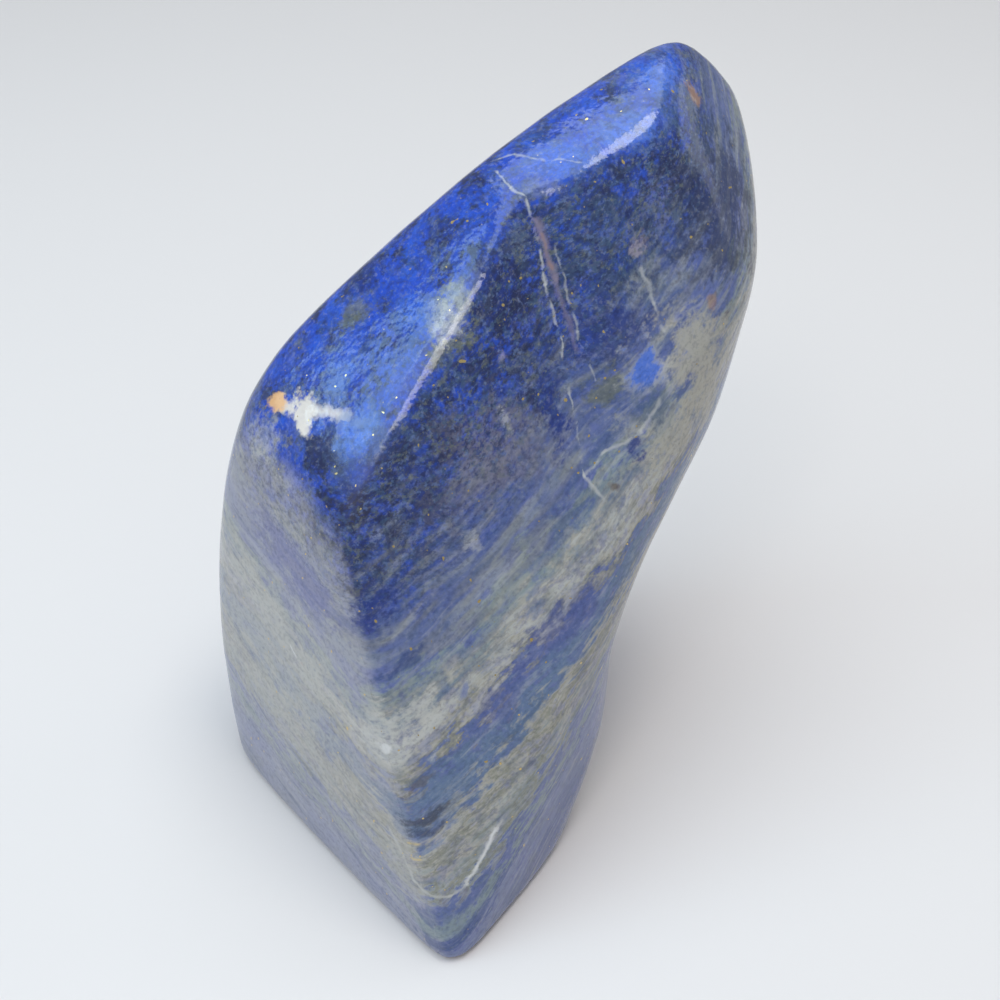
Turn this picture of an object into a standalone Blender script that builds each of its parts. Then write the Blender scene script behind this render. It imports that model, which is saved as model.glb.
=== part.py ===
"""Lapis lazuli freeform: one polished natural stone that stands on a flat cut base.

The stone is a body ground down to a few broad, slightly crowned flats. Each flat is the outside
of a very large ball, so it bulges a little as hand-ground faces do, and neighbouring flats run
into each other over a soft polished edge. Two troughs, worn as if by a round grinding wheel, are
then taken out: the waist above the right foot and the shallow crease down the broad front.

Frame: metres, +Z up, the broad front faces -Y, the origin is at the bottom centre of the
bounding box and the flat base lies on z = 0. The dimensions below are in millimetres.
"""
import bpy
import bmesh
import numpy as np

MM = 0.001

# Flats: point on the flat, azimuth of its outward normal (degrees from -Y towards +X), tilt of
# the normal above the horizon (degrees), crown radius, softness of its edges
FLATS = {
    "broad front": ((8.0, -27.0, 78.0), -5.0, 27.0, 900.0, 1.5),
    "left end": ((-49.0, -8.0, 51.0), -73.0, 7.5, 700.0, 2.0),
    "crest": ((-19.0, 12.0, 119.8), -68.0, 49.0, 1000.0, 1.3),
    "brow": ((28.0, 20.0, 148.5), -49.0, 69.0, 900.0, 1.3),
    "tip": ((54.0, 20.0, 148.0), 43.0, 38.0, 200.0, 1.5),
    "right foot": ((-7.5, -42.0, 18.0), 30.5, -1.0, 4000.0, 1.8),
    "right flank": ((50.5, 6.5, 86.5), 84.0, -22.5, 480.0, 2.2),
    "flank foot": ((27.0, -18.5, 19.5), 51.5, -10.5, 4000.0, 3.0),
    "back": ((5.0, 45.0, 60.0), 174.0, -1.0, 1000.0, 3.5),
    "upper back": ((14.0, 36.5, 132.5), -155.0, 34.5, 4000.0, 3.0),
    "left back": ((-56.5, 32.5, 43.0), -130.5, 2.5, 180.0, 3.0),
}
NEIGHBOUR_REACH = 3.0  # distance over which two flats share the softness of their edge

# The heel stands out below the overhanging right flank and widens the base there; same terms
HEEL = ((16.5, -12.0, 6.0), 61.0, -2.0, 95.0, 4.5)

# Troughs: point on the floor, azimuth and tilt of the direction it opens to, azimuth and tilt of
# its length, wheel radius, softness of its rims
TROUGHS = {
    "waist": ((20.0, -22.5, 53.0), 72.0, -12.0, 150.0, 4.0, 60.0, 2.0),
    "crease": ((10.2, 8.6, 137.7), -5.0, 27.0, 2.0, -57.5, 14.0, 1.2),
}

HEART = (2.0, 2.0, 68.0)  # point inside the stone from which the whole surface can be seen
BASE_SOFT = 1.0  # softness of the rim of the base
BASE_CUT = 0.3  # height at which the base is sawn flat
FARTHEST = 160.0  # no point of the surface is farther than this from the heart
BALL_LEVEL = 7  # subdivision of the starting ball
FACES_KEPT = 8200  # triangles kept: small ones on the edges, large ones on the flats

STONE_COLOUR = (0.035, 0.075, 0.33, 1.0)


def direction(azimuth, tilt):
    """Unit vector for an azimuth from -Y towards +X and a tilt above the horizon, in degrees."""
    turn = np.radians(azimuth)
    rise = np.radians(tilt)
    return np.array([np.sin(turn) * np.cos(rise), -np.cos(turn) * np.cos(rise), np.sin(rise)])


def smooth_max(first, second, softness):
    """Larger of two distances, rounded where they are nearly equal."""
    top = np.maximum(first, second)
    spread = np.exp((first - top) / softness) + np.exp((second - top) / softness)
    return top + softness * np.log(spread)


def crowned_distance(points, flat):
    """Distance outside one crowned flat (negative inside)."""
    place, azimuth, tilt, crown, _ = flat
    centre = np.array(place) - crown * direction(azimuth, tilt)
    return np.linalg.norm(points - centre, axis=1) - crown


def flats_distance(points):
    """Distance outside the body that all the flats enclose (negative inside)."""
    distances = {name: crowned_distance(points, flat) for name, flat in FLATS.items()}
    heel = crowned_distance(points, HEEL)
    distances["right flank"] = -smooth_max(-distances["right flank"], -heel, HEEL[-1])
    values = np.array(list(distances.values()))
    top = values.max(axis=0)
    share = np.exp((values - top) / NEIGHBOUR_REACH)
    soft = np.array([flat[-1] for flat in FLATS.values()]) @ share / share.sum(axis=0)
    return top + soft * np.log(np.exp((values - top) / soft).sum(axis=0))


def trough_distance(points, trough):
    """Distance inside the wheel that ground a trough (negative outside the wheel)."""
    floor, azimuth, tilt, along_azimuth, along_tilt, radius, _ = trough
    axle = np.array(floor) + radius * direction(azimuth, tilt)
    along = direction(along_azimuth, along_tilt)
    arm = points - axle
    arm = arm - np.outer(arm @ along, along)
    return radius - np.linalg.norm(arm, axis=1)


def stone_distance(points):
    """Distance outside the finished stone (negative inside)."""
    distance = flats_distance(points)
    for trough in TROUGHS.values():
        distance = smooth_max(distance, trough_distance(points, trough), trough[-1])
    return smooth_max(distance, -points[:, 2], BASE_SOFT)


def surface_points(directions):
    """Points where rays from the heart leave the stone, found by halving the range."""
    heart = np.array(HEART)
    near = np.zeros(len(directions))
    far = np.full(len(directions), FARTHEST)
    for _ in range(40):
        middle = (near + far) / 2
        inside = stone_distance(heart + directions * middle[:, None]) < 0
        near = np.where(inside, middle, near)
        far = np.where(inside, far, middle)
    return heart + directions * near[:, None]


def clear_scene():
    """Empties the scene."""
    for item in list(bpy.data.objects):
        bpy.data.objects.remove(item, do_unlink=True)


def shaped_ball():
    """Adds a fine ball and draws its vertices out to the surface of the stone."""
    bpy.ops.mesh.primitive_ico_sphere_add(subdivisions=BALL_LEVEL, radius=1.0)
    ball = bpy.context.object
    mesh = ball.data
    directions = np.empty(len(mesh.vertices) * 3)
    mesh.vertices.foreach_get("co", directions)
    directions = directions.reshape(-1, 3)
    directions /= np.linalg.norm(directions, axis=1, keepdims=True)
    mesh.vertices.foreach_set("co", (surface_points(directions) * MM).ravel())
    mesh.update()
    return ball


def thin_out(body, faces):
    """Merges small faces on the flats until about the given number of triangles is left."""
    thinner = body.modifiers.new("thin out", "DECIMATE")
    thinner.ratio = faces / len(body.data.polygons)
    bpy.ops.object.modifier_apply(modifier=thinner.name)


def saw_bottom_off(body, height):
    """Cuts the bottom off at a height and leaves the cut open."""
    shape = bmesh.new()
    shape.from_mesh(body.data)
    everything = shape.verts[:] + shape.edges[:] + shape.faces[:]
    bmesh.ops.bisect_plane(
        shape,
        geom=everything,
        dist=1e-6,
        plane_co=(0, 0, height),
        plane_no=(0, 0, -1),
        clear_outer=True,
    )
    rim = {vertex for edge in shape.edges if edge.is_boundary for vertex in edge.verts}
    bmesh.ops.remove_doubles(shape, verts=list(rim), dist=0.4 * MM)
    shape.to_mesh(body.data)
    shape.free()


def close_base(body, height):
    """Closes the cut with one flat face."""
    shape = bmesh.new()
    shape.from_mesh(body.data)
    rim = [edge for edge in shape.edges if edge.is_boundary]
    for edge in rim:
        for vertex in edge.verts:
            vertex.co.z = height
    bmesh.ops.contextual_create(shape, geom=rim)
    bmesh.ops.recalc_face_normals(shape, faces=shape.faces)
    shape.to_mesh(body.data)
    shape.free()


def centre_on_origin(body):
    """Moves the shape so that the origin is at the bottom centre of its bounding box."""
    count = len(body.data.vertices)
    points = np.empty(count * 3)
    body.data.vertices.foreach_get("co", points)
    points = points.reshape(-1, 3)
    low = points.min(axis=0)
    high = points.max(axis=0)
    points -= np.array([(low[0] + high[0]) / 2, (low[1] + high[1]) / 2, low[2]])
    body.data.vertices.foreach_set("co", points.ravel())
    body.data.update()


def polished_stone():
    """Material of the stone."""
    material = bpy.data.materials.new("polished lapis lazuli")
    material.use_nodes = True
    shader = material.node_tree.nodes["Principled BSDF"]
    shader.inputs["Base Color"].default_value = STONE_COLOUR
    shader.inputs["Roughness"].default_value = 0.12
    shader.inputs["IOR"].default_value = 1.5
    return material


clear_scene()
stone = shaped_ball()
stone.name = "stone"
stone.data.name = "stone"
saw_bottom_off(stone, BASE_CUT * MM)
thin_out(stone, FACES_KEPT)
close_base(stone, BASE_CUT * MM)
centre_on_origin(stone)
stone.data.materials.append(polished_stone())
for face in stone.data.polygons:
    face.use_smooth = abs(face.normal.z) < 0.9999 or len(face.vertices) < 5
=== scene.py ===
"""Lapis lazuli freeform: the looks of the polished stone in a plain studio.

The solid of the stone gives the form. The visible piece is a fine copy of it with the gentle
waves of a hand-ground surface. The rock is a solid pattern that runs through the whole body, so
every side shows the same tilted layers: blue ground at the top, a pale calcite band across the
middle, and thin blue and grey-green layers at the foot.

Lengths in the frame are metres. The rock pattern works in millimetres.
"""

import logging
import math
from dataclasses import dataclass
from enum import Enum
from typing import Any

import bpy
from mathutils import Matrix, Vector


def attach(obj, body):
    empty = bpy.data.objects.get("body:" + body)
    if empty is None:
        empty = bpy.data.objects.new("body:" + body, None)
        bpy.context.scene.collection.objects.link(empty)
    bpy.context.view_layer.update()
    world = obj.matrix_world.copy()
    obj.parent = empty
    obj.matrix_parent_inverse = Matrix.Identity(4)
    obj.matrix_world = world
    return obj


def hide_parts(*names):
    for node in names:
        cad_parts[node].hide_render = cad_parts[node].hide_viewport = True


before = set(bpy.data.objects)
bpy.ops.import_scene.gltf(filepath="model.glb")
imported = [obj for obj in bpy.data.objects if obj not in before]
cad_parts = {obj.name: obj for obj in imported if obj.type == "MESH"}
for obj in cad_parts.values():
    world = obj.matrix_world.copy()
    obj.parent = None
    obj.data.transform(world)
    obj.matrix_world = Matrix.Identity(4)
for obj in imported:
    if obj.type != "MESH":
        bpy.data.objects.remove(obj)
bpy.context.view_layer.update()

log = logging.getLogger("lapis")

MM = 0.001

# Numbers of the colour sockets of a mix node
UNDER_COLOUR = 6
OVER_COLOUR = 7
MIXED_COLOUR = 2

Triple = tuple[float, float, float]
Colour = tuple[float, float, float]
Stop = tuple[float, Colour]


class Kind(Enum):
    """What a socket of a node group carries."""

    FLOAT = "NodeSocketFloat"
    VECTOR = "NodeSocketVector"
    COLOUR = "NodeSocketColor"


def deselect_all() -> None:
    """Deselects every object, the nodes of the frame among them."""
    bpy.ops.object.select_all(action="DESELECT")


def outward(azimuth: float, elevation: float) -> Vector:
    """Gives the direction from the stone towards an azimuth and elevation.

    Args:
        azimuth: degrees round from the front, towards +X.
        elevation: degrees above the floor.

    Returns:
        A unit vector.
    """
    turn = math.radians(azimuth)
    rise = math.radians(elevation)
    flat = math.cos(rise)
    return Vector((math.sin(turn) * flat, -math.cos(turn) * flat, math.sin(rise)))


class Graph:
    """A node tree that is being wired.

    Values are given either as numbers, colours and vectors or as the output sockets of nodes.
    """

    def __init__(self, tree: bpy.types.NodeTree) -> None:
        """Keeps the tree.

        Args:
            tree: the node tree to add to.
        """
        self.tree = tree

    def node(self, kind: str, values: dict[Any, Any], **settings: Any) -> bpy.types.Node:
        """Adds a node.

        Args:
            kind: the node's type name.
            values: what goes into each input, by the input's name or number.
            settings: the node's own settings.

        Returns:
            The new node.
        """
        made = self.tree.nodes.new(kind)
        for name, setting in settings.items():
            setattr(made, name, setting)
        for key, value in values.items():
            self.feed(made.inputs[key], value)
        return made

    def feed(self, socket: bpy.types.NodeSocket, value: Any) -> None:
        """Links a socket to another one, or sets its value.

        Args:
            socket: the input socket.
            value: an output socket, a number, a colour or a vector.
        """
        if isinstance(value, bpy.types.NodeSocket):
            self.tree.links.new(value, socket)
        elif socket.type == "RGBA" and len(value) == 3:
            socket.default_value = (*value, 1.0)
        else:
            socket.default_value = value

    def sum(self, first: Any, second: Any) -> bpy.types.NodeSocket:
        """Adds two numbers."""
        return self.node("ShaderNodeMath", {0: first, 1: second}, operation="ADD").outputs[0]

    def product(self, first: Any, second: Any) -> bpy.types.NodeSocket:
        """Multiplies two numbers."""
        return self.node("ShaderNodeMath", {0: first, 1: second}, operation="MULTIPLY").outputs[0]

    def larger(self, first: Any, second: Any) -> bpy.types.NodeSocket:
        """Gives the larger of two numbers."""
        return self.node("ShaderNodeMath", {0: first, 1: second}, operation="MAXIMUM").outputs[0]

    def dot(self, first: Any, second: Any) -> bpy.types.NodeSocket:
        """Multiplies two vectors into one number."""
        made = self.node("ShaderNodeVectorMath", {0: first, 1: second}, operation="DOT_PRODUCT")
        return made.outputs["Value"]

    def vector(self, work: str, first: Any, second: Any) -> bpy.types.NodeSocket:
        """Works out a vector from two others by the named operation."""
        made = self.node("ShaderNodeVectorMath", {0: first, 1: second}, operation=work)
        return made.outputs["Vector"]

    def length(self, vector: Any) -> bpy.types.NodeSocket:
        """Gives the length of a vector."""
        made = self.node("ShaderNodeVectorMath", {0: vector}, operation="LENGTH")
        return made.outputs["Value"]

    def noise(
        self, place: Any, grain: float, detail: float, roughness: float = 0.5, warp: float = 0.0
    ) -> bpy.types.NodeSocket:
        """Adds a cloudy noise.

        Args:
            place: the vector to read it at, in millimetres.
            grain: the size of its largest lumps, in millimetres.
            detail: how many finer layers it has.
            roughness: how strong the finer layers are.
            warp: how much it is distorted.

        Returns:
            The socket of its value, about 0.5 on average.
        """
        values = {
            "Vector": place,
            "Scale": 1.0 / grain,
            "Detail": detail,
            "Roughness": roughness,
            "Distortion": warp,
        }
        return self.node("ShaderNodeTexNoise", values).outputs["Fac"]

    def ramp_up(
        self, value: Any, low: Any, high: Any, top: Any = 1.0
    ) -> bpy.types.NodeSocket:
        """Runs smoothly from 0 at the low value to the top at the high one."""
        values = {"Value": value, "From Min": low, "From Max": high, "To Max": top}
        made = self.node("ShaderNodeMapRange", values, interpolation_type="SMOOTHSTEP")
        return made.outputs["Result"]

    def stretch(self, value: Any, low: float, high: float) -> bpy.types.NodeSocket:
        """Turns 0 to 1 into low to high."""
        values = {"Value": value, "To Min": low, "To Max": high}
        return self.node("ShaderNodeMapRange", values).outputs["Result"]

    def ramp(self, value: Any, stops: tuple[Stop, ...]) -> bpy.types.NodeSocket:
        """Adds a colour ramp.

        Args:
            value: the number that is read, 0 to 1.
            stops: place and colour of each stop, in order.

        Returns:
            The socket of the colour.
        """
        made = self.node("ShaderNodeValToRGB", {"Fac": value})
        band = made.color_ramp
        while len(band.elements) < len(stops):
            band.elements.new(1.0)
        for element, (place, colour) in zip(band.elements, stops):
            element.position = place
            element.color = (*colour, 1.0)
        return made.outputs["Color"]

    def lay(self, share: Any, under: Any, over: Any) -> bpy.types.NodeSocket:
        """Lays one colour over another.

        Args:
            share: how much of the upper colour shows, 0 to 1.
            under: the lower colour.
            over: the upper colour.

        Returns:
            The socket of the result.
        """
        made = self.node("ShaderNodeMix", {"Factor": share}, data_type="RGBA")
        self.feed(made.inputs[UNDER_COLOUR], under)
        self.feed(made.inputs[OVER_COLOUR], over)
        return made.outputs[MIXED_COLOUR]


class Group:
    """A shader node group that is used several times in a material."""

    def __init__(self, name: str, inputs: dict[str, Kind], outputs: dict[str, Kind]) -> None:
        """Makes the empty group with its sockets.

        Args:
            name: the group's name.
            inputs: each input's name and kind of socket.
            outputs: each output's name and kind of socket.
        """
        self.tree = bpy.data.node_groups.new(name, "ShaderNodeTree")
        for title, kind in inputs.items():
            self.tree.interface.new_socket(title, in_out="INPUT", socket_type=kind.value)
        for title, kind in outputs.items():
            self.tree.interface.new_socket(title, in_out="OUTPUT", socket_type=kind.value)
        self.graph = Graph(self.tree)
        self.given = self.tree.nodes.new("NodeGroupInput").outputs
        self.result = self.tree.nodes.new("NodeGroupOutput").inputs

    def place(self, graph: Graph, values: dict[str, Any]) -> bpy.types.Node:
        """Puts the group into another tree and gives its node there."""
        return graph.node("ShaderNodeGroup", values, node_tree=self.tree)


PATCH_EDGE = 1.25  # distance from a patch's middle, in half sizes, where it ends
PATCH_HEART = 0.45  # and within which it covers fully
FULL_SKIN = 0.4  # millimetres below a face that count fully as its skin


def patch_group() -> Group:
    """Makes a patch: a lump of another mineral with a ragged rim, laid over the rock.

    Returns:
        A group with the inputs Rock, Mineral, Strength, Place, Pace, Shift and Rim, and the
        output Rock. Place times Pace plus Shift is the way from the middle in half sizes.
    """
    group = Group(
        "mineral patch",
        {
            "Rock": Kind.COLOUR,
            "Mineral": Kind.COLOUR,
            "Strength": Kind.FLOAT,
            "Place": Kind.VECTOR,
            "Pace": Kind.VECTOR,
            "Shift": Kind.VECTOR,
            "Rim": Kind.FLOAT,
        },
        {"Rock": Kind.COLOUR},
    )
    graph, given = group.graph, group.given
    values = {0: given["Place"], 1: given["Pace"], 2: given["Shift"]}
    offset = graph.node("ShaderNodeVectorMath", values, operation="MULTIPLY_ADD")
    reach = graph.length(offset.outputs["Vector"])
    mask = graph.ramp_up(graph.sum(reach, given["Rim"]), PATCH_EDGE, PATCH_HEART, given["Strength"])
    graph.feed(group.result["Rock"], graph.lay(mask, given["Rock"], given["Mineral"]))
    return group


def streak_group() -> Group:
    """Makes a streak: a thin spindle of another mineral between two points, laid over the rock.

    Returns:
        A group with the inputs Rock, Mineral, Strength, Place, Start, Run, Pace, Width and
        Wear, and the output Rock. Run is the way from the start to the end, and a step times
        Pace is the share of the way that it covers.
    """
    group = Group(
        "mineral streak",
        {
            "Rock": Kind.COLOUR,
            "Mineral": Kind.COLOUR,
            "Strength": Kind.FLOAT,
            "Place": Kind.VECTOR,
            "Start": Kind.VECTOR,
            "Run": Kind.VECTOR,
            "Pace": Kind.VECTOR,
            "Width": Kind.FLOAT,
            "Wear": Kind.FLOAT,
        },
        {"Rock": Kind.COLOUR},
    )
    graph, given = group.graph, group.given
    offset = graph.vector("SUBTRACT", given["Place"], given["Start"])
    along = graph.stretch(graph.dot(offset, given["Pace"]), 0.0, 1.0)
    foot = graph.node(
        "ShaderNodeVectorMath", {0: given["Run"], "Scale": along}, operation="SCALE"
    ).outputs["Vector"]
    aside = graph.length(graph.vector("SUBTRACT", offset, foot))
    width = graph.product(given["Width"], given["Wear"])
    mask = graph.ramp_up(aside, width, 0.0, given["Strength"])
    graph.feed(group.result["Rock"], graph.lay(mask, given["Rock"], given["Mineral"]))
    return group


def skin_group() -> Group:
    """Finds the rock just under one ground face.

    Returns:
        A group with the inputs Place, Centre, Crown and Depth and the output Mask.
    """
    group = Group(
        "rock under a face",
        {"Place": Kind.VECTOR, "Centre": Kind.VECTOR, "Crown": Kind.FLOAT, "Depth": Kind.FLOAT},
        {"Mask": Kind.FLOAT},
    )
    graph, given = group.graph, group.given
    away = graph.length(graph.vector("SUBTRACT", given["Place"], given["Centre"]))
    below = graph.node(
        "ShaderNodeMath", {0: given["Crown"], 1: away}, operation="SUBTRACT"
    ).outputs[0]
    graph.feed(group.result["Mask"], graph.ramp_up(below, given["Depth"], FULL_SKIN))
    return group


@dataclass(frozen=True)
class Patch:
    """A patch of another mineral: middle, half sizes, colour. Lengths are in millimetres."""

    name: str
    centre: Triple
    reach: Triple
    colour: Colour
    strength: float = 0.8
    level: bool = False
    clean: bool = False


@dataclass(frozen=True)
class Streak:
    """A thin streak of another mineral between two points. Lengths are in millimetres."""

    name: str
    start: Triple
    end: Triple
    width: float
    colour: Colour
    strength: float = 0.8


@dataclass(frozen=True)
class Weave:
    """How a noise is stretched: lumps per millimetre along and across the layers, and detail."""

    along: float
    across: float
    detail: float
    roughness: float


@dataclass(frozen=True)
class Veil:
    """A thin cover of one mineral that follows a noise.

    Low and high are the values of the noise where it starts and where it is full. Below and
    above are how much of it shows in the lower and in the upper layers.
    """

    name: str
    low: float
    high: float
    below: float
    above: float
    colour: Colour
    shift: Triple = (0.0, 0.0, 0.0)


@dataclass(frozen=True)
class Palette:
    """The minerals of the rock. Vivid, azure and sky also serve as painted sky sheen and highlights on the
    crest, brow and tip.
    """

    navy: Colour = (0.009, 0.016, 0.065)
    umber: Colour = (0.030, 0.028, 0.045)
    ultramarine: Colour = (0.013, 0.034, 0.200)
    vivid: Colour = (0.009, 0.062, 0.480)
    azure: Colour = (0.030, 0.130, 0.600)
    sky: Colour = (0.075, 0.185, 0.640)
    lazuli: Colour = (0.028, 0.060, 0.210)
    denim: Colour = (0.060, 0.095, 0.260)
    dusk: Colour = (0.125, 0.160, 0.335)
    periwinkle: Colour = (0.160, 0.195, 0.360)
    lavender: Colour = (0.105, 0.120, 0.380)
    iris: Colour = (0.075, 0.098, 0.285)
    slate: Colour = (0.045, 0.085, 0.165)
    plum: Colour = (0.062, 0.068, 0.150)
    haze: Colour = (0.100, 0.155, 0.330)
    steel: Colour = (0.090, 0.125, 0.270)
    teal: Colour = (0.120, 0.178, 0.295)
    violet: Colour = (0.180, 0.170, 0.240)
    mauve: Colour = (0.235, 0.195, 0.260)
    sage: Colour = (0.215, 0.270, 0.290)
    mist: Colour = (0.290, 0.315, 0.310)
    khaki: Colour = (0.125, 0.140, 0.110)
    olive: Colour = (0.230, 0.230, 0.185)
    brown: Colour = (0.105, 0.075, 0.065)
    rust: Colour = (0.320, 0.185, 0.125)
    orange: Colour = (0.750, 0.430, 0.190)
    gold: Colour = (0.350, 0.325, 0.245)
    beige: Colour = (0.370, 0.355, 0.310)
    chalk: Colour = (0.500, 0.500, 0.475)
    bone: Colour = (0.430, 0.435, 0.415)
    pale: Colour = (0.520, 0.520, 0.500)
    white: Colour = (0.680, 0.680, 0.680)
    cream: Colour = (0.700, 0.650, 0.590)
    pink: Colour = (0.440, 0.370, 0.420)
    brass: Colour = (0.620, 0.480, 0.220)


TINT = Palette()

PATCHES = (
    Patch("deep blue left of the crease", (-5, 4, 125), (7, 12, 11), TINT.navy, 0.70),
    Patch("slate upper front", (18, 6, 132), (13, 9, 11), TINT.slate, 0.40),
    Patch("deep blue right of the crease", (16.5, -3, 116), (9, 7, 6), TINT.ultramarine, 0.75),
    Patch("violet grey middle", (-9, -9, 102), (13, 9, 9), TINT.violet, 0.40),
    Patch("violet grey below it", (-17, -11, 96), (14, 9, 5), TINT.violet, 0.38, True),
    Patch("blue lens", (-4, -28.0, 66.5), (15, 7, 3.4), TINT.iris, 0.72, True),
    Patch("lower end of the blue lens", (-20, -32, 54.5), (9, 7, 2.4), TINT.iris, 0.60, True),
    Patch("dark tooth", (-2, -5.5, 108.5), (2.4, 5, 4.6), TINT.navy, 0.85),
    Patch("blue beside the tooth", (2, -8, 104), (3.4, 5, 7.5), TINT.ultramarine, 0.95),
    Patch("khaki patch", (13.5, -7.5, 107), (4.6, 5, 3.6), TINT.khaki, 0.75),
    Patch("khaki strip by the crest", (-14.5, 1, 118.5), (6.5, 4, 1.9), TINT.khaki, 0.85, True),
    Patch("beige wedge at the right", (34, -8, 107), (8, 9, 15), TINT.beige, 0.90),
    Patch("beige below it", (24, -14, 97), (8, 8, 7), TINT.beige, 0.50),
    Patch("bright lens rim", (22.4, -8, 108.5), (4.6, 5, 6.4), TINT.chalk, 0.50),
    Patch("bright lens", (22, -7.6, 108.8), (3.0, 5, 4.6), TINT.azure, 0.85),
    Patch("grey blue below the lens", (22, -11.5, 102), (4, 5, 4.5), TINT.slate, 0.65),
    Patch("rust spot at the right", (39, -3.5, 117.5), (1.5, 2.5, 2.7), TINT.rust, 0.55),
    Patch("crystals at the upper right", (25, 4, 129.7), (2.0, 3, 1.9), TINT.pink, 0.50),
    Patch("crystals by the crease", (-7, -1.5, 116), (1.3, 3, 2.2), TINT.pink, 0.50),
    Patch("crystals in the violet", (-8.5, -7.5, 105), (1.3, 3, 2.4), TINT.pale, 0.45),
    Patch("crystals lower left", (-19.5, -17, 85), (1.5, 2, 2.2), TINT.pale, 0.45),
    Patch("brown spot", (11.5, -17.5, 89.5), (1.5, 2, 1.2), TINT.brown, 0.70),
    Patch("blue spot", (17.5, -15, 95), (2.0, 2, 2.2), TINT.ultramarine, 0.85),
    Patch("dark corner", (-39.5, -6.5, 97), (8, 8, 8.5), TINT.navy, 0.80),
    Patch("bright blue in the corner", (-38, -5, 98), (2.6, 3, 3.6), TINT.vivid, 0.60),
    Patch("dark line at the corner", (-40, -8, 95.5), (5, 4, 0.7), TINT.umber, 0.75, True),
    Patch("second dark line", (-41, -9.5, 92.5), (5, 4, 0.7), TINT.umber, 0.70, True),
    Patch("pale spot on the edge", (-37.5, -12.5, 89.5), (1.3, 2, 2.2), TINT.periwinkle, 0.75),
    Patch("third dark line", (-41.5, -15.5, 81.5), (5, 5, 0.8), TINT.umber, 0.55, True),
    Patch("deep blue on the edge", (-40, -18, 77.5), (5.5, 6, 3.2), TINT.ultramarine, 0.85, True),
    Patch("blue line on the edge", (-39.5, -24.5, 64.5), (7, 6, 1.2), TINT.lazuli, 0.70, True),
    Patch("white speck", (-27.5, -29.5, 58.5), (1.0, 2, 1.8), TINT.periwinkle, 0.80),
    Patch("teal of the edge", (-39, -38, 37.5), (9, 7, 4.5), TINT.teal, 0.50, True),
    Patch("umber line on the edge", (-40.5, -38.7, 34), (6, 4, 0.9), TINT.umber, 0.70, True),
    Patch("navy line on the edge", (-40, -40, 31.5), (6, 4, 0.8), TINT.navy, 0.60, True),
    Patch("brown line on the edge", (-40, -36, 41.5), (5, 4, 0.6), TINT.brown, 0.50, True),
    Patch("sage band round the foot", (-41, -47.5, 9), (13, 9, 1.7), TINT.sage, 0.75, True),
    Patch("blue band under it", (-40, -48.5, 5.5), (13, 9, 1.6), TINT.lazuli, 0.60, True),
    Patch("blue band over it", (-41, -46, 12.5), (13, 9, 1.8), TINT.denim, 0.55, True),
    Patch("chalky band on the edge", (-42, -29, 51), (12, 8, 4.4), TINT.pale, 0.60, True),
    Patch("white spot on the edge", (-44.5, -29.5, 49), (1.4, 1.6, 1.1), TINT.white, 0.75, clean=True),
    Patch("beige middle of the left end", (-58, 2, 47), (9, 30, 19), TINT.bone, 0.60),
    Patch("blue lens on the left end", (-51, 0, 74), (10, 16, 4.5), TINT.lavender, 0.45, True),
    Patch("pale top of the left end", (-50.5, 17, 96), (5, 7, 5), TINT.pale, 0.50),
    Patch("dark under the calcite", (-42.5, 4, 99.5), (5, 5, 4.2), TINT.navy, 0.75),
    # Painted sky sheen: light blue laid on the lower end of the crest for the sky it reflects.
    Patch("painted sky sheen at the crest end", (-35.2, 1.5, 104.3), (5, 6, 4.6), TINT.sky, 0.65),
    Patch("white calcite on the crest", (-42.8, 14.2, 102.8), (3.0, 4.2, 2.4), TINT.cream, 0.92, clean=True),
    Patch("lower drop of the calcite", (-42.6, 11, 101.6), (2, 2.4, 2), TINT.cream, 0.85, clean=True),
    Patch("calcite by the stain", (-44.8, 17.2, 102.3), (2.0, 2.6, 1.9), TINT.cream, 0.90, clean=True),
    Patch("orange stain", (-46, 19.5, 101.8), (1.7, 2.0, 1.9), TINT.orange, 0.85, clean=True),
    Patch("pale patch on the crest", (-15, 4.5, 121.5), (3.6, 4, 4.4), TINT.bone, 0.75),
    Patch("pale patch above it", (-11.5, 8, 126), (2.6, 3, 3.6), TINT.mist, 0.75),
    Patch("green patch on the crest", (-28, 22, 118), (5, 4.5, 3.4), TINT.khaki, 0.70),
    Patch("navy border of the crest", (-24, 27, 122), (9, 5, 5), TINT.navy, 0.60),
    Patch("navy spot on the crest", (-8, 22, 131), (5, 4, 4), TINT.navy, 0.50),
    Patch("navy below the arcs", (0, 25, 138), (5, 4, 3), TINT.navy, 0.45),
    # Painted sky sheen: light blue laid on the crest for the sky it reflects.
    Patch("painted sky sheen on the crest", (-33, 14, 110), (5, 4, 3.5), TINT.sky, 0.60),
    Patch("azure by the pale patch", (-19, 13, 121), (4, 5, 6), TINT.azure, 0.55),
    # Painted highlight: light blues laid on the right end and middle of the brow for the bright sky it
    # reflects.
    Patch("painted highlight at the brow end", (28, 17, 147), (12, 5, 3.6), TINT.sky, 0.60),
    Patch("painted highlight in the brow middle", (14, 18, 143.5), (9, 6, 4), TINT.azure, 0.55),
    Patch("grey violet of the brow", (10.5, 14.5, 140), (4.0, 3.5, 2.6), TINT.periwinkle, 0.60),
    # Painted dark reflection: navy laid over the right shoulder for the dark surroundings it reflects.
    Patch("painted dark reflection on the right shoulder", (44, 10, 132), (13, 14, 18), TINT.navy, 0.68),
    Patch("deep blue left border", (-27, -8, 99), (8, 10, 11), TINT.navy, 0.45),
    Patch("rust at the tip", (47.5, 23, 148.8), (1.8, 2.2, 2.8), TINT.rust, 0.80, clean=True),
    Patch("slate tip", (45, 19, 146), (8, 8, 8), TINT.slate, 0.40),
    # Painted sky sheen: azure laid on the cap of the tip for the highlights of the sky it reflects.
    Patch("painted sky sheen on the tip", (41, 26, 153), (8, 6, 3), TINT.azure, 0.60),
)

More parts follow.
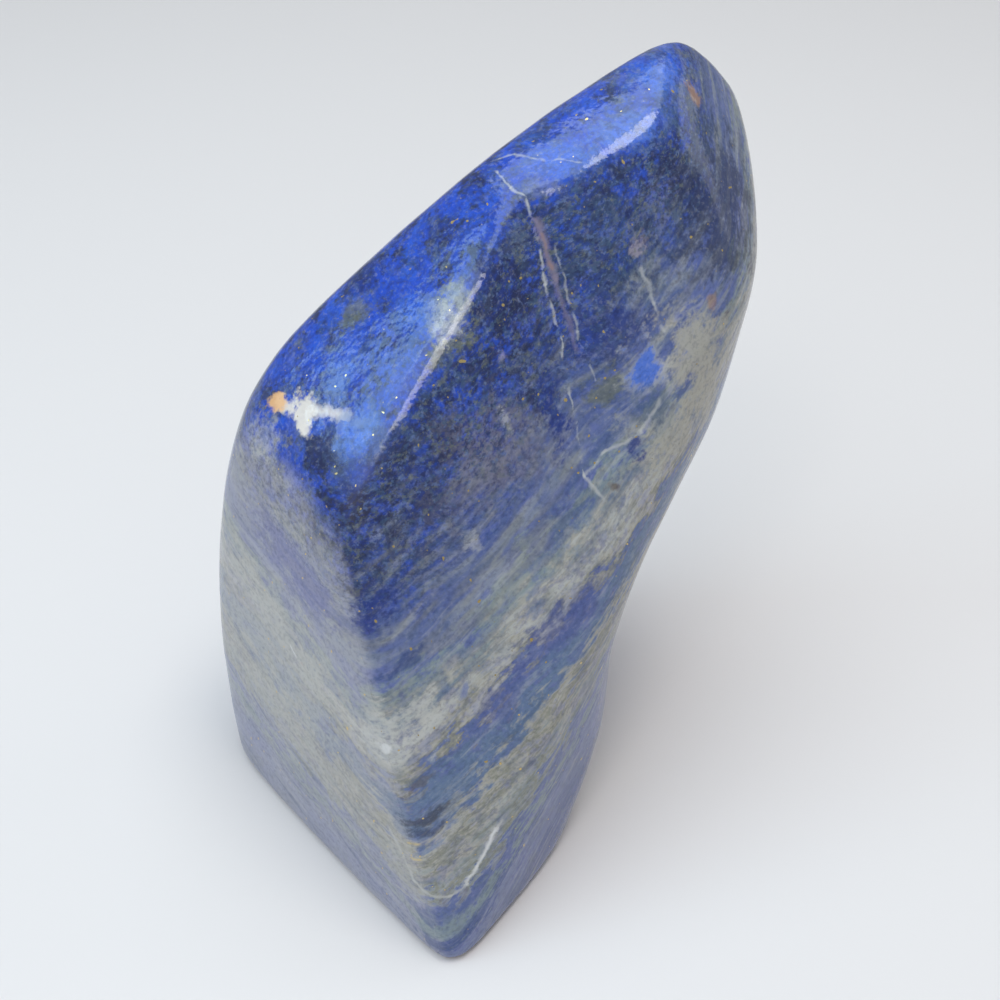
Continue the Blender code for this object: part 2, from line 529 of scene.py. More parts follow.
STREAKS = (
    Streak("arm of the calcite", (-41.5, 13, 103.4), (-36.1, 6.3, 105.3), 1.7, TINT.cream, 0.78),
    Streak("bend of the arm", (-36.1, 6.3, 105.3), (-34.2, 1.8, 105.2), 1.5, TINT.haze, 0.70),
    Streak("arc across the crest", (2.2, 28.6, 140.1), (3.5, 22.7, 140.9), 0.34, TINT.pale, 0.50),
    Streak("middle of the crest arc", (3.5, 22.7, 140.9), (4.3, 17.9, 139.9), 0.34, TINT.pale, 0.50),
    Streak("end of the crest arc", (4.3, 17.9, 139.9), (6, 14.5, 139), 0.36, TINT.pale, 0.60),
    Streak("arc across the brow", (3.9, 26.6, 141.6), (8, 24.1, 143.1), 0.36, TINT.pale, 0.50),
    Streak("middle of the brow arc", (8, 24.1, 143.1), (12.7, 18.6, 143.4), 0.36, TINT.pale, 0.50),
    Streak("end of the brow arc", (12.7, 18.6, 143.4), (18.7, 15, 143.8), 0.36, TINT.pale, 0.40),
    Streak("vein down the crease", (6, 14.5, 139), (6, 5, 125), 0.44, TINT.pale, 0.70),
    Streak("middle of the vein", (6, 5, 125), (6.5, -1, 115.5), 0.38, TINT.pale, 0.60),
    Streak("lower part of the vein", (6.5, -1, 115.5), (5.7, -15, 92), 0.36, TINT.pale, 0.65),
    Streak("foot of the vein", (5.7, -15, 92), (9, -18.5, 87), 0.55, TINT.pale, 0.60),
    Streak("branch of the foot", (5.7, -15, 92), (11, -13.5, 95.5), 0.60, TINT.pale, 0.45),
    Streak("second vein", (9, 9, 133), (10, -1, 116.7), 0.34, TINT.pale, 0.45),
    Streak("end of the second vein", (10, -1, 116.7), (11.5, -6.5, 108), 0.30, TINT.pale, 0.40),
    Streak("mauve seam", (6.8, 11.5, 135.5), (7.8, 5, 126), 1.10, TINT.mauve, 0.75),
    Streak("lower mauve seam", (7.8, 5, 126), (9.4, -2.5, 113.5), 0.80, TINT.mauve, 0.45),
    Streak("rusty heart of the seam", (7, 10, 133.5), (7.6, 6, 127.5), 0.45, TINT.rust, 0.50),
    Streak("white line", (10.5, -13.8, 95.5), (18.9, -13.5, 98.1), 0.55, TINT.pale, 0.55),
    Streak("end of the white line", (18.9, -13.5, 98.1), (24.2, -11.4, 102.6), 0.60, TINT.pale, 0.50),
    Streak("specks above the lens", (24.9, 1.4, 125.3), (26.7, -1.9, 119.8), 0.70, TINT.pale, 0.45),
    Streak("white line by the lens", (26.7, -1.9, 119.8), (27, -4.9, 114.6), 0.55, TINT.pale, 0.50),
    Streak("white line above the beige", (27, -4.9, 114.6), (37, -3.5, 118), 0.50, TINT.pale, 0.30),
    Streak("bright vein at the foot", (-26, -43, 29), (-34, -46.3, 19), 0.70, TINT.white, 0.90),
    Streak("thin end of the vein", (-19.6, -41.3, 36), (-26, -43, 29), 0.50, TINT.chalk, 0.60),
    Streak("white line round the edge", (-34, -46.3, 19), (-37.9, -46.6, 17.1), 0.60, TINT.chalk, 0.70),
    Streak("bend round the edge", (-37.9, -46.6, 17.1), (-41.8, -45.1, 17.2), 0.50, TINT.chalk, 0.65),
    Streak("rise beyond the edge", (-41.8, -45.1, 17.2), (-43.9, -41.6, 19.5), 0.50, TINT.pale, 0.70),
    Streak("end beyond the edge", (-43.9, -41.6, 19.5), (-46, -34.3, 28.6), 0.60, TINT.pale, 0.60),
    Streak("gold line", (-44, -38.5, 28.5), (-41, -41.5, 29.5), 0.40, TINT.brass, 0.80),
    Streak("second gold line", (-44, -40, 25), (-41, -42.5, 26), 0.40, TINT.brass, 0.80),
    Streak("gold stain by the edge", (-50, -20, 35.5), (-46.5, -32, 29.5), 1.10, TINT.gold, 0.45),
    Streak("second gold stain", (-51.5, -16, 29), (-46.5, -34, 23.5), 0.90, TINT.gold, 0.35),
    Streak("pale line by the edge", (-52.5, -12, 33.5), (-45, -36, 24.5), 0.55, TINT.chalk, 0.55),
    Streak("white streak on the left end", (-54, 0.5, 54), (-51, -9.5, 48.5), 0.55, TINT.white, 0.80),
    Streak("rust beside it", (-53, -3.5, 52), (-51.5, -8, 50), 0.50, TINT.rust, 0.50),
)


@dataclass(frozen=True)
class Layer:
    """A layer of the rock: its height across the layers in millimetres, and its mineral."""

    name: str
    height: float
    colour: Colour


LAYERS = (
    Layer("deep blue of the far foot", -24.0, TINT.lazuli),
    Layer("denim of the far foot", -3.0, TINT.denim),
    Layer("grey band of the far foot", 9.0, TINT.sage),
    Layer("blue above the grey band", 14.0, TINT.dusk),
    Layer("denim behind the foot", 26.0, TINT.denim),
    Layer("blue rock of the right foot", 34.0, TINT.periwinkle),
    Layer("blue foot", 37.5, TINT.periwinkle),
    Layer("dark rim", 39.8, TINT.denim),
    Layer("green grey of the foot", 41.6, TINT.sage),
    Layer("top of the green grey", 43.0, TINT.sage),
    Layer("blue below the white line", 44.2, TINT.dusk),
    Layer("blue under the pale line", 46.4, TINT.dusk),
    Layer("pale line", 47.4, TINT.mist),
    Layer("olive grey", 48.6, TINT.olive),
    Layer("grey green", 50.8, TINT.mist),
    Layer("pale sand", 52.8, TINT.beige),
    Layer("sand", 54.6, TINT.olive),
    Layer("sand under the teal", 56.4, TINT.beige),
    Layer("teal", 59.0, TINT.teal),
    Layer("top of the teal", 62.0, TINT.teal),
    Layer("blue grey above it", 64.2, TINT.dusk),
    Layer("olive streaks", 65.4, TINT.olive),
    Layer("beige", 67.2, TINT.beige),
    Layer("calcite band", 69.6, TINT.bone),
    Layer("upper half of the band", 71.4, TINT.beige),
    Layer("grey green above it", 73.6, TINT.mist),
    Layer("sage", 75.8, TINT.sage),
    Layer("blue above the band", 78.4, TINT.dusk),
    Layer("blue with lighter lines", 83.0, TINT.dusk),
    Layer("steel blue", 88.0, TINT.steel),
    Layer("deep blue", 95.0, TINT.lazuli),
    Layer("deep blue top", 112.0, TINT.lazuli),
)


BLUE_MOTTLE = Veil("blue mottle", 0.47, 0.68, 0.30, 0.15, TINT.lavender)
KHAKI_MOTTLE = Veil("khaki mottle", 0.50, 0.68, 0.22, 0.50, TINT.khaki)
SMEARS = (
    Veil("grey smears", 0.50, 0.63, 0.0, 0.50, TINT.mist, (7.0, 5.0, 3.0)),
    Veil("denim smears", 0.50, 0.63, 0.0, 0.55, TINT.denim, (19.0, 2.0, 11.0)),
    Veil("olive smears", 0.50, 0.63, 0.0, 0.40, TINT.olive, (3.0, 13.0, 23.0)),
)
LINES = (
    Veil("light lines", 0.52, 0.70, 0.28, 0.04, TINT.pale),
    Veil("dark lines", 0.48, 0.30, 0.36, 0.12, TINT.slate),
)
CLOUDS = (
    Veil("slate clouds", 0.52, 0.60, 0.0, 0.70, TINT.slate, (11.0, 3.0, 7.0)),
    Veil("khaki clouds", 0.56, 0.63, 0.0, 0.60, TINT.khaki, (5.0, 23.0, 13.0)),
    Veil("plum clouds", 0.57, 0.65, 0.0, 0.40, TINT.plum, (41.0, 9.0, 27.0)),
    Veil("blue clouds", 0.54, 0.62, 0.0, 0.65, TINT.ultramarine, (2.0, 37.0, 19.0)),
    Veil("navy clouds", 0.55, 0.63, 0.0, 0.65, TINT.navy, (29.0, 1.0, 33.0)),
)
SPECKS = (Veil("light specks", 0.56, 0.68, 0.16, 0.60, TINT.haze),)
GRAIN = (
    Veil("dark grain", 0.52, 0.32, 0.22, 0.50, TINT.navy),
    Veil("light grain", 0.54, 0.74, 0.12, 0.12, TINT.pale),
)
BLUE_GRAINS = ((0.42, TINT.navy), (0.51, TINT.ultramarine), (0.62, TINT.vivid))


@dataclass(frozen=True)
class GroundFace:
    """A crowned face of the stone: a point on it, its outward direction and its crown radius."""

    point: Triple
    azimuth: float
    tilt: float
    crown: float

    @property
    def centre(self) -> Triple:
        """The middle of the ball whose outside the face is."""
        return tuple(Vector(self.point) - outward(self.azimuth, self.tilt) * self.crown)


@dataclass(frozen=True)
class Lapis:
    """Finish of the polished rock. Lengths are in millimetres."""

    bedding: Triple = (-0.471, -0.325, 0.820)
    low: float = -24.0
    high: float = 112.0
    left_end: "GroundFace" = GroundFace((-53.3, -4.2, 50.7), -73.0, 7.5, 700.0)
    crest: "GroundFace" = GroundFace((-23.3, 15.8, 119.5), -68.0, 49.0, 1000.0)
    brow: "GroundFace" = GroundFace((23.7, 23.8, 148.2), -49.0, 69.0, 900.0)
    crest_depth: float = 3.5
    left_depth: float = 2.0
    corner: Triple = (-40.0, -7.0, 96.0)
    corner_reach: tuple[float, float] = (4.0, 15.0)
    # Colour of the painted glare: a whitish haze laid into the left end's colour for the bright floor it
    # reflects at a grazing view.
    painted_glare: Colour = (0.63, 0.595, 0.555)
    deep: tuple[float, float] = (80.0, 97.0)
    folds: tuple[tuple[float, float], ...] = ((40.0, 5.5), (9.0, 3.2))
    layer_warp: tuple[float, float] = (30.0, 3.0)
    patch_warp: tuple[float, float] = (7.0, 2.6)
    streak_warp: tuple[float, float] = (4.0, 1.0)
    streak_wear: tuple[float, float] = (-0.6, 3.0)
    thread: Weave = Weave(0.10, 0.75, 3.0, 0.62)
    thread_reach: float = 8.0
    middle: Weave = Weave(0.17, 0.36, 4.0, 0.62)
    middle_reach: float = 6.5
    middle_rim: float = 1.5
    fine: Weave = Weave(0.65, 1.15, 3.0, 0.68)
    fine_reach: float = 1.8
    fine_rim: float = 0.75
    coarse: Weave = Weave(0.06, 0.12, 3.0, 0.55)
    haze: Weave = Weave(0.26, 0.50, 3.0, 0.62)
    green: Weave = Weave(1 / 6, 1 / 6, 4.0, 0.66)
    green_shift: Triple = (31 / 6, 17 / 6, 5 / 6)
    smears: Weave = Weave(0.055, 0.40, 2.0, 0.60)
    lines: Weave = Weave(0.05, 0.72, 3.0, 0.62)
    clouds: Weave = Weave(0.46, 0.70, 3.0, 0.68)
    specks: Weave = Weave(0.62, 0.85, 2.0, 0.72)
    grain: Weave = Weave(0.9, 1.4, 2.0, 0.6)
    fleck_size: float = 1.1
    fleck_rarity: tuple[float, float] = (0.825, 0.85)
    fleck_metal: float = 0.85
    gloss: tuple[float, float] = (0.05, 0.15)
    pale_dulling: float = 0.06
    corner_dulling: float = 0.24
    left_dulling: float = 0.14
    relief: tuple[tuple[float, float], ...] = ((1.3, 0.05), (6.0, 0.16))


class LapisRock:
    """The material of the stone: layered blue rock with pale bands, veins and flecks, painted glare on the
    left end and painted sky sheen on the crest and brow.
    """

    def __init__(self, finish: Lapis) -> None:
        """Keeps the finish.

        Args:
            finish: sizes and layers of the rock.
        """
        self.finish = finish
        self.turn = Vector(finish.bedding).rotation_difference(Vector((0, 0, 1)))
        self.material = bpy.data.materials.new("polished lapis lazuli")
        self.material.use_nodes = True
        self.material.node_tree.nodes.clear()
        self.graph = Graph(self.material.node_tree)
        self.skins = skin_group()
        self.lump = patch_group()
        self.noises: dict[tuple[Weave, Triple], bpy.types.NodeSocket] = {}
        graph = self.graph
        coordinates = graph.node("ShaderNodeTexCoord", {}).outputs["Object"]
        self.place = graph.vector("MULTIPLY", coordinates, (1 / MM, 1 / MM, 1 / MM))
        self.warped = self._warp(*finish.patch_warp)
        self.layers = self._turned(self._warp(*finish.layer_warp))
        self.fine = self._woven(finish.fine)
        self.middle = self._woven(finish.middle)
        self.coarse = self._woven(finish.coarse)
        self.thread = self._woven(finish.thread)

    def make(self) -> bpy.types.Material:
        """Builds the material.

        Returns:
            The finished material.
        """
        graph, finish = self.graph, self.finish
        height = self._height()
        crest = graph.larger(
            self._skin(finish.crest, finish.crest_depth), self._skin(finish.brow, finish.crest_depth)
        )
        start, full = finish.deep
        deep = graph.ramp_up(height, self._level(start), self._level(full))
        corner = self._away_from_corner()
        # Mask of the left end's skin, away from the top corner, where the whitish painted glare goes.
        painted_glare = graph.product(self._skin(finish.left_end, finish.left_depth), corner)
        colour = self._layered(height)
        colour = self._mottle(colour, deep, crest)
        colour = self._lay_veils(colour, finish.smears, SMEARS, self._above_the_band(height))
        # Painted glare: a whitish haze, broken up by coarse noise, laid into the left end's colour in place
        # of the grazing reflection of the bright floor.
        haze = graph.product(painted_glare, graph.stretch(self.coarse, 0.16, 0.50))
        colour = graph.lay(haze, colour, finish.painted_glare)
        colour = self._lay_veils(colour, finish.lines, LINES, deep)
        colour = self._lay_patches(colour, clean=False)
        speckled = graph.product(deep, graph.stretch(crest, 1.0, 0.42))
        speckled = graph.product(speckled, graph.stretch(painted_glare, 1.0, 0.40))
        colour = self._lay_veils(colour, finish.clouds, CLOUDS, speckled)
        colour = self._lay_veils(colour, finish.specks, SPECKS, speckled)
        colour = self._lay_veils(colour, finish.grain, GRAIN, speckled)
        colour = self._lay_patches(colour, clean=True)
        colour = self._lay_streaks(colour)
        flecks = graph.ramp_up(graph.noise(self.place, finish.fleck_size, 0.0), *finish.fleck_rarity)
        colour = graph.lay(flecks, colour, TINT.brass)
        shader = graph.node(
            "ShaderNodeBsdfPrincipled",
            {
                "Base Color": colour,
                "Metallic": graph.product(flecks, finish.fleck_metal),
                "Roughness": self._roughness(deep, painted_glare, corner),
                "IOR": 1.52,
                "Normal": self._relief(),
            },
        )
        graph.node("ShaderNodeOutputMaterial", {"Surface": shader.outputs["BSDF"]})
        return self.material

    def _level(self, height: float) -> float:
        """Turns a height across the layers in millimetres into 0 to 1."""
        return (height - self.finish.low) / (self.finish.high - self.finish.low)

    def _woven(self, weave: Weave, shift: Triple = (0.0, 0.0, 0.0)) -> bpy.types.NodeSocket:
        """Gives a noise that is stretched along the layers. Each one is made only once.

        Args:
            weave: how the noise is stretched, and its detail.
            shift: where it is read, in lumps of the noise.

        Returns:
            The socket of its value, about 0.5 on average.
        """
        if (weave, shift) not in self.noises:
            pace = (weave.along, weave.along, weave.across)
            place = self.graph.vector("MULTIPLY", self.layers, pace)
            place = self.graph.vector("ADD", place, shift)
            noise = self.graph.noise(place, 1.0, weave.detail, weave.roughness)
            self.noises[weave, shift] = noise
        return self.noises[weave, shift]

    def _warp(self, grain: float, amount: float) -> bpy.types.NodeSocket:
        """Shifts the place about a little, so that what is drawn there is irregular.

        Args:
            grain: the size of the irregularities.
            amount: how far they shift it.

        Returns:
            The shifted place.
        """
        graph = self.graph
        values = {"Vector": self.place, "Scale": 1 / grain, "Detail": 1.5, "Roughness": 0.6}
        shift = graph.node("ShaderNodeTexNoise", values).outputs["Color"]
        shift = graph.vector("SUBTRACT", shift, (0.5, 0.5, 0.5))
        reach = 2 * amount
        return graph.vector(
            "ADD", self.place, graph.vector("MULTIPLY", shift, (reach, reach, reach))
        )

    def _turned(self, place: Any) -> bpy.types.NodeSocket:
        """Turns a place so that the layers lie level."""
        values = {"Vector": place, "Rotation": tuple(self.turn.to_euler())}
        return self.graph.node("ShaderNodeMapping", values).outputs["Vector"]

    def _height(self) -> bpy.types.NodeSocket:
        """Measures how far across the layers a place is, from 0 at the foot to 1 at the top.

        Returns:
            The height, with the gentle folds of the layers in it.
        """
        graph = self.graph
        height = graph.dot(self.place, self.finish.bedding)
        for grain, fold in self.finish.folds:
            wave = graph.noise(self.place, grain, 2.0)
            height = graph.sum(height, graph.stretch(wave, -fold, fold))
        values = {"Value": height, "From Min": self.finish.low, "From Max": self.finish.high}
        return graph.node("ShaderNodeMapRange", values).outputs["Result"]

    def _layered(self, height: Any) -> bpy.types.NodeSocket:
        """Colours the layers, which run into each other in soft streaks.

        Args:
            height: the height across the layers, 0 to 1.

        Returns:
            The colour of the layers.
        """
        graph, finish = self.graph, self.finish
        for noise, reach in (
            (self.thread, finish.thread_reach),
            (self.middle, finish.middle_reach),
            (self.fine, finish.fine_reach),
        ):
            shift = reach / (finish.high - finish.low)
            height = graph.sum(height, graph.stretch(noise, -shift, shift))
        stops = tuple((self._level(layer.height), layer.colour) for layer in LAYERS)
        return graph.ramp(height, stops)

    def _mottle(self, colour: Any, deep: Any, crest: Any) -> bpy.types.NodeSocket:
        """Mottles the layers: soft blue and khaki clouds, deep blue grains in the upper layers, and on the
        crest and brow a vivid blue with streaks of painted azure sky sheen.

        Args:
            colour: the colour of the layers.
            deep: 0 in the lower and 1 in the upper layers.
            crest: 0 away from the crest and brow and 1 on them, where the painted sky sheen goes.

        Returns:
            The mottled colour.
        """
        graph, finish = self.graph, self.finish
        mixed = graph.sum(self.middle, graph.stretch(self.fine, -0.30, 0.30))
        colour = self._lay_veil(colour, mixed, BLUE_MOTTLE, deep)
        haze = self._woven(finish.haze)
        hazy = graph.product(graph.ramp_up(self.coarse, 0.42, 0.60), graph.ramp_up(haze, 0.40, 0.62))
        hazy = graph.product(hazy, graph.stretch(deep, 0.32, 0.60))
        colour = graph.lay(hazy, colour, TINT.slate)
        green = self._woven(finish.green, finish.green_shift)
        colour = self._lay_veil(colour, green, KHAKI_MOTTLE, deep)
        greenish = graph.ramp_up(green, KHAKI_MOTTLE.low, KHAKI_MOTTLE.high)
        grains = graph.ramp_up(graph.sum(haze, greenish), 1.2, 0.55, 0.82)
        colour = graph.lay(graph.product(deep, grains), colour, graph.ramp(mixed, BLUE_GRAINS))
        # Painted sky sheen: the crest and brow get a vivid blue, partly the rock's own deep blue, and
        # streaks of azure laid into their colour in place of the sky they reflect.
        top = graph.product(crest, graph.ramp_up(mixed, 0.36, 0.54, 0.85))
        colour = graph.lay(top, colour, TINT.vivid)
        sheen = graph.product(crest, graph.ramp_up(self.thread, 0.46, 0.62, 0.30))
        return graph.lay(sheen, colour, TINT.azure)

    def _above_the_band(self, height: Any) -> bpy.types.NodeSocket:
        """Gives 1 in the layers just above the pale band and 0 elsewhere."""
        graph = self.graph
        above = graph.ramp_up(height, self._level(70.0), self._level(78.0))
        below = graph.ramp_up(height, self._level(104.0), self._level(88.0))
        return graph.product(above, below)

    def _lay_veil(self, colour: Any, noise: Any, veil: Veil, deep: Any) -> bpy.types.NodeSocket:
        """Lays one veil over the rock.

        Args:
            colour: the colour of the rock so far.
            noise: the noise that the veil follows.
            veil: the veil.
            deep: 0 where its lower share shows and 1 where its upper share shows.

        Returns:
            The colour with the veil.
        """
        graph = self.graph
        mask = graph.ramp_up(noise, veil.low, veil.high)
        mask = graph.product(mask, graph.stretch(deep, veil.below, veil.above))
        return graph.lay(mask, colour, veil.colour)

    def _lay_veils(
        self, colour: Any, weave: Weave, veils: tuple[Veil, ...], deep: Any
    ) -> bpy.types.NodeSocket:
        """Lays several veils of the same weave over the rock.

        Args:
            colour: the colour of the rock so far.
            weave: the noise that they follow.
            veils: the veils, the lowest first.
            deep: 0 where their lower share shows and 1 where their upper share shows.

        Returns:
            The colour with the veils.
        """
        for veil in veils:
            colour = self._lay_veil(colour, self._woven(weave, veil.shift), veil, deep)
        return colour

    def _lay_patches(self, colour: Any, clean: bool) -> bpy.types.NodeSocket:
        """Lays patches of other minerals over the rock.

        Args:
            colour: the colour of the rock so far.
            clean: whether to lay those without grain or the others.

        Returns:
            The colour with the patches.
        """
        graph, finish = self.graph, self.finish
        level_place = self._turned(self.warped)
        rim = graph.sum(
            graph.stretch(self.fine, -finish.fine_rim, finish.fine_rim),
            graph.stretch(self.middle, -finish.middle_rim, finish.middle_rim),
        )
        for patch in PATCHES:
            if patch.clean != clean:
                continue
            centre = Vector(patch.centre)
            if patch.level:
                centre.rotate(self.turn)
            pace = Vector(1 / size for size in patch.reach)
            values = {
                "Rock": colour,
                "Mineral": patch.colour,
                "Strength": patch.strength,
                "Place": level_place if patch.level else self.warped,
                "Pace": tuple(pace),
                "Shift": tuple(-centre * pace),
                "Rim": rim,
            }
            colour = self.lump.place(graph, values).outputs["Rock"]
        return colour

    def _lay_streaks(self, colour: Any) -> bpy.types.NodeSocket:
        """Lays the thin streaks and veins over the rock.

        Args:
            colour: the colour of the rock so far.

        Returns:
            The colour with the streaks.
        """
        graph = self.graph
        spindle = streak_group()
        wear = graph.stretch(self.fine, *self.finish.streak_wear)
        place = self._warp(*self.finish.streak_warp)
        for streak in STREAKS:
            run = Vector(streak.end) - Vector(streak.start)
            values = {
                "Rock": colour,
                "Mineral": streak.colour,
                "Strength": streak.strength,
                "Place": place,
                "Start": streak.start,
                "Run": tuple(run),
                "Pace": tuple(run / run.length_squared),
                "Width": streak.width,
                "Wear": wear,
            }
            colour = spindle.place(graph, values).outputs["Rock"]
        return colour

    def _skin(self, face: GroundFace, depth: float) -> bpy.types.NodeSocket:
        """Gives 1 on a ground face and 0 deeper in the rock than the depth in millimetres."""
        values = {
            "Place": self.place,
            "Centre": face.centre,
            "Crown": face.crown,
            "Depth": depth,
        }
        return self.skins.place(self.graph, values).outputs["Mask"]

    def _away_from_corner(self) -> bpy.types.NodeSocket:
        """Gives 0 at the top corner, where the rock stays dark without painted glare, and 1 away from it."""
        graph = self.graph
        away = graph.length(graph.vector("SUBTRACT", self.warped, self.finish.corner))
        return graph.ramp_up(away, *self.finish.corner_reach)

    def _roughness(self, deep: Any, painted_glare: Any, corner: Any) -> bpy.types.NodeSocket:
        """Makes the polish: glossy blue rock, duller pale rock, dull left end and top corner.

        Args:
            deep: 0 in the lower and 1 in the upper layers.
            painted_glare: the mask of the left end, where glare is painted.
            corner: 0 at the top corner and 1 away from it.

        Returns:
            The roughness.
        """
        graph, finish = self.graph, self.finish
        rough = graph.stretch(self.coarse, *finish.gloss)
        rough = graph.sum(rough, graph.stretch(deep, finish.pale_dulling, 0.0))
        rough = graph.sum(rough, graph.stretch(corner, finish.corner_dulling, 0.0))
        return graph.sum(rough, graph.product(painted_glare, finish.left_dulling))

    def _relief(self) -> bpy.types.NodeSocket:
        """Makes the fine relief that polishing leaves between hard and soft grains.

        Returns:
            The normal of the surface.
        """
        graph = self.graph
        height: Any = 0.0
        for size, rise in self.finish.relief:
            lumps = graph.noise(self.place, size, 1.0)
            height = graph.sum(height, graph.product(lumps, rise))
        bump = graph.node("ShaderNodeBump", {"Strength": 1.0, "Distance": MM, "Height": height})
        return bump.outputs["Normal"]


@dataclass
class Stone:
    """The polished stone, refined from its solid. Lengths are in metres."""

    node: str = "stone"
    body: str = "root"
    cell: float = 0.85 * MM
    smoothing: int = 14
    wave: float = 0.35 * MM
    wave_size: float = 17.0 * MM
    base_band: float = 1.2 * MM

    def build(self) -> bpy.types.Object:
        """Makes the visible stone.

        Returns:
            The finished piece.
        """
        piece = self._copy_of_solid()
        self._refine(piece)
        self._wave(piece)
        self._level_base(piece)
        piece.data.materials.clear()
        piece.data.materials.append(LapisRock(Lapis()).make())
        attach(piece, self.body)
        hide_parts(self.node)
        log.info("%s: %d faces", piece.name, len(piece.data.polygons))
        return piece

    def _copy_of_solid(self) -> bpy.types.Object:
        """Copies the solid, joins its loose triangles and leaves the copy selected."""
        deselect_all()
        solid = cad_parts[self.node]
        piece = solid.copy()
        piece.data = solid.data.copy()
        piece.name = "polished_stone"
        piece.data.name = piece.name
        bpy.context.scene.collection.objects.link(piece)
        piece.select_set(True)
        bpy.context.view_layer.objects.active = piece
        bpy.ops.object.mode_set(mode="EDIT")
        bpy.ops.mesh.select_all(action="SELECT")
        bpy.ops.mesh.remove_doubles(threshold=0.01 * MM)
        bpy.ops.object.mode_set(mode="OBJECT")
        return piece

    def _apply(self, piece: bpy.types.Object, kind: str, **settings: Any) -> None:
        """Adds a modifier and applies it.

        Args:
            piece: the piece it works on.
            kind: the modifier's type.
            settings: the modifier's settings.
        """
        modifier = piece.modifiers.new(kind.lower(), kind)
        for name, value in settings.items():
            setattr(modifier, name, value)
        bpy.ops.object.modifier_apply(modifier=modifier.name)

    def _refine(self, piece: bpy.types.Object) -> None:
        """Gives the piece an even fine mesh and rounds off its facets."""
        self._apply(piece, "REMESH", mode="VOXEL", voxel_size=self.cell)
        self._apply(piece, "SMOOTH", factor=0.5, iterations=self.smoothing)
        bpy.ops.object.shade_smooth()

    def _wave(self, piece: bpy.types.Object) -> None:
        """Gives the faces the slight waves of grinding by hand."""
        waves = bpy.data.textures.new("hand ground waves", "CLOUDS")
        waves.noise_scale = self.wave_size
        waves.noise_depth = 1
        self._apply(
            piece,
            "DISPLACE",
            texture=waves,
            texture_coords="LOCAL",
            strength=self.wave,
            mid_level=0.5,
        )

    def _level_base(self, piece: bpy.types.Object) -> None:
        """Lays the cut base of the piece flat on the floor again."""
        heights = [vertex.co.z for vertex in piece.data.vertices]
        facing = [vertex.normal.z for vertex in piece.data.vertices]
        for vertex, height, turn in zip(piece.data.vertices, heights, facing):
            if height < 0.0 or (height < self.base_band and turn < -0.9):
                vertex.co.z = 0.0


@dataclass(frozen=True)
class SoftLight:
    """A soft box: where it stands from the stone, its size, strength and tint."""

    name: str
    azimuth: float
    elevation: float
    distance: float
    width: float
    height: float
    watts: float
    tint: Colour = (1.0, 1.0, 1.0)


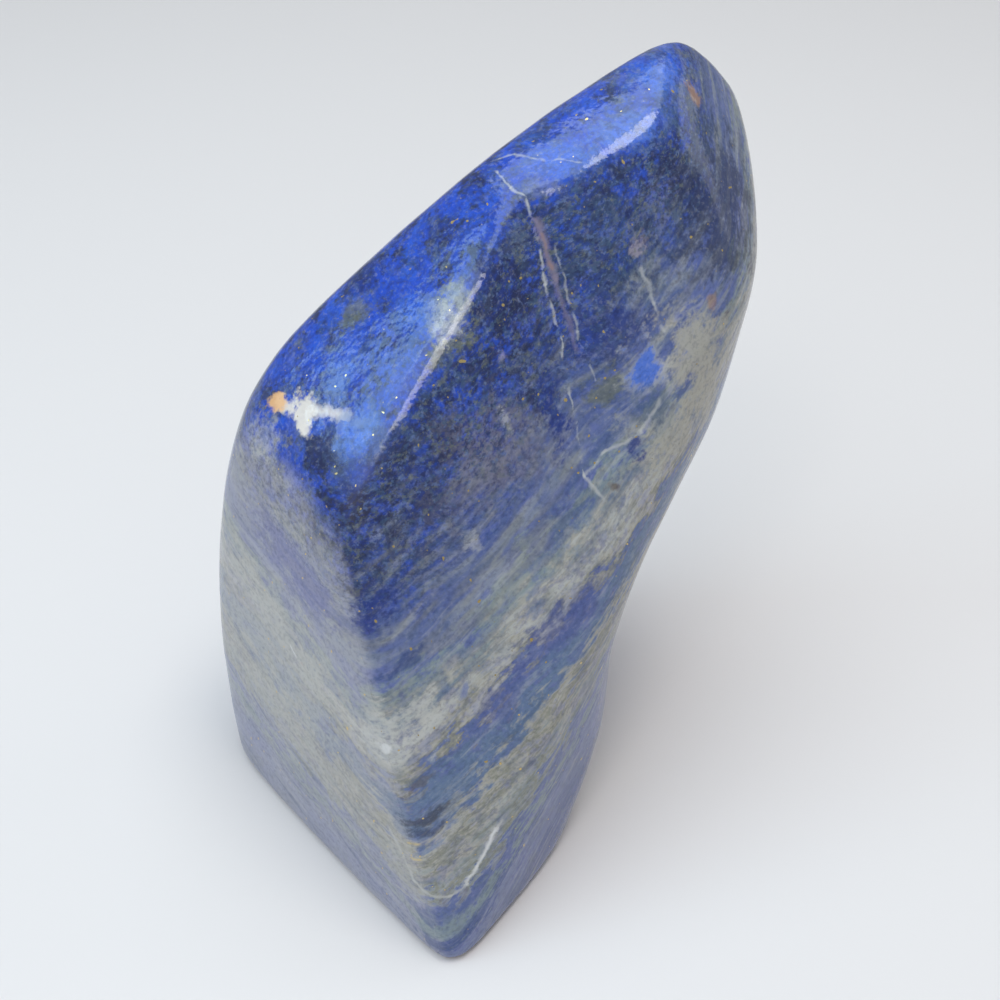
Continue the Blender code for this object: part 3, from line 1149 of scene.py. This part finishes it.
@dataclass
class Studio:
    """Floor, soft lights, surroundings and camera. Lengths are in metres."""

    aim: Triple = (-4.3 * MM, 3.8 * MM, 74.7 * MM)
    camera_azimuth: float = -24.0
    camera_elevation: float = 40.0
    camera_distance: float = 0.300
    lens: float = 50.4
    floor_width: float = 8.0
    floor_colour: Colour = (0.73, 0.685, 0.660)
    sky_tint: Colour = (0.94, 0.965, 1.0)
    sky_low: float = 0.35
    sky_high: float = 0.54

    @property
    def lights(self) -> tuple[SoftLight, ...]:
        """The soft boxes round the stone."""
        return (
            SoftLight("overhead box", 172.0, 82.0, 1.0, 0.84, 0.80, 5.4, (0.72, 0.87, 1.0)),
            SoftLight("left box", -70.0, 52.0, 1.0, 0.62, 0.42, 1.8, (0.68, 0.85, 1.0)),
            SoftLight("crest box", -108.0, 45.0, 1.0, 0.35, 0.42, 1.5, (0.52, 0.80, 1.0)),
            SoftLight("front box", -42.0, 53.0, 1.2, 0.34, 0.34, 1.9, (1.0, 0.94, 0.86)),
            SoftLight("key box", 60.0, 77.0, 1.0, 0.40, 0.24, 1.7, (1.0, 0.97, 0.93)),
            SoftLight("right fill", 86.0, 24.0, 1.2, 0.70, 0.40, 0.9, (0.94, 0.97, 1.0)),
        )

    def build(self) -> None:
        """Sets up the whole studio."""
        self._lay_floor()
        self._set_surroundings()
        for light in self.lights:
            self._hang(light)
        self._place_camera()
        bpy.context.scene.view_settings.view_transform = "Standard"
        log.info("studio: floor, %d soft lights and camera", len(self.lights))

    def _lay_floor(self) -> None:
        """Lays the plain pale floor."""
        deselect_all()
        bpy.ops.mesh.primitive_plane_add(size=self.floor_width)
        floor = bpy.context.object
        floor.name = "floor"
        material = bpy.data.materials.new("pale floor")
        material.use_nodes = True
        shader = material.node_tree.nodes["Principled BSDF"]
        shader.inputs["Base Color"].default_value = (*self.floor_colour, 1.0)
        shader.inputs["Roughness"].default_value = 0.55
        floor.data.materials.append(material)

    def _set_surroundings(self) -> None:
        """Surrounds the scene with an even soft dome, brighter overhead."""
        world = bpy.data.worlds.new("soft dome")
        world.use_nodes = True
        graph = Graph(world.node_tree)
        direction = graph.node("ShaderNodeTexCoord", {}).outputs["Generated"]
        height = graph.node("ShaderNodeSeparateXYZ", {0: direction}).outputs["Z"]
        background = world.node_tree.nodes["Background"]
        graph.feed(background.inputs["Color"], self.sky_tint)
        graph.feed(background.inputs["Strength"], graph.stretch(height, self.sky_low, self.sky_high))
        bpy.context.scene.world = world

    def _hang(self, light: SoftLight) -> None:
        """Hangs a soft box that faces the stone."""
        away = outward(light.azimuth, light.elevation)
        deselect_all()
        bpy.ops.object.light_add(type="AREA", location=Vector(self.aim) + away * light.distance)
        lamp = bpy.context.object
        lamp.name = light.name
        lamp.data.shape = "RECTANGLE"
        lamp.data.size = light.width
        lamp.data.size_y = light.height
        lamp.data.energy = light.watts
        lamp.data.color = light.tint
        lamp.rotation_euler = away.to_track_quat("Z", "Y").to_euler()

    def _place_camera(self) -> None:
        """Places the camera at the viewing angle of the photograph."""
        back = outward(self.camera_azimuth, self.camera_elevation)
        deselect_all()
        bpy.ops.object.camera_add(location=Vector(self.aim) + back * self.camera_distance)
        camera = bpy.context.object
        camera.rotation_euler = (-back).to_track_quat("-Z", "Y").to_euler()
        camera.data.lens = self.lens
        camera.data.sensor_width = 36.0
        camera.data.clip_start = 0.01
        bpy.context.scene.camera = camera


def main() -> None:
    """Builds the studio and the stone."""
    logging.basicConfig(level=logging.INFO, format="%(name)s: %(message)s")
    Studio().build()
    Stone().build()


if __name__ == "__main__":
    main()
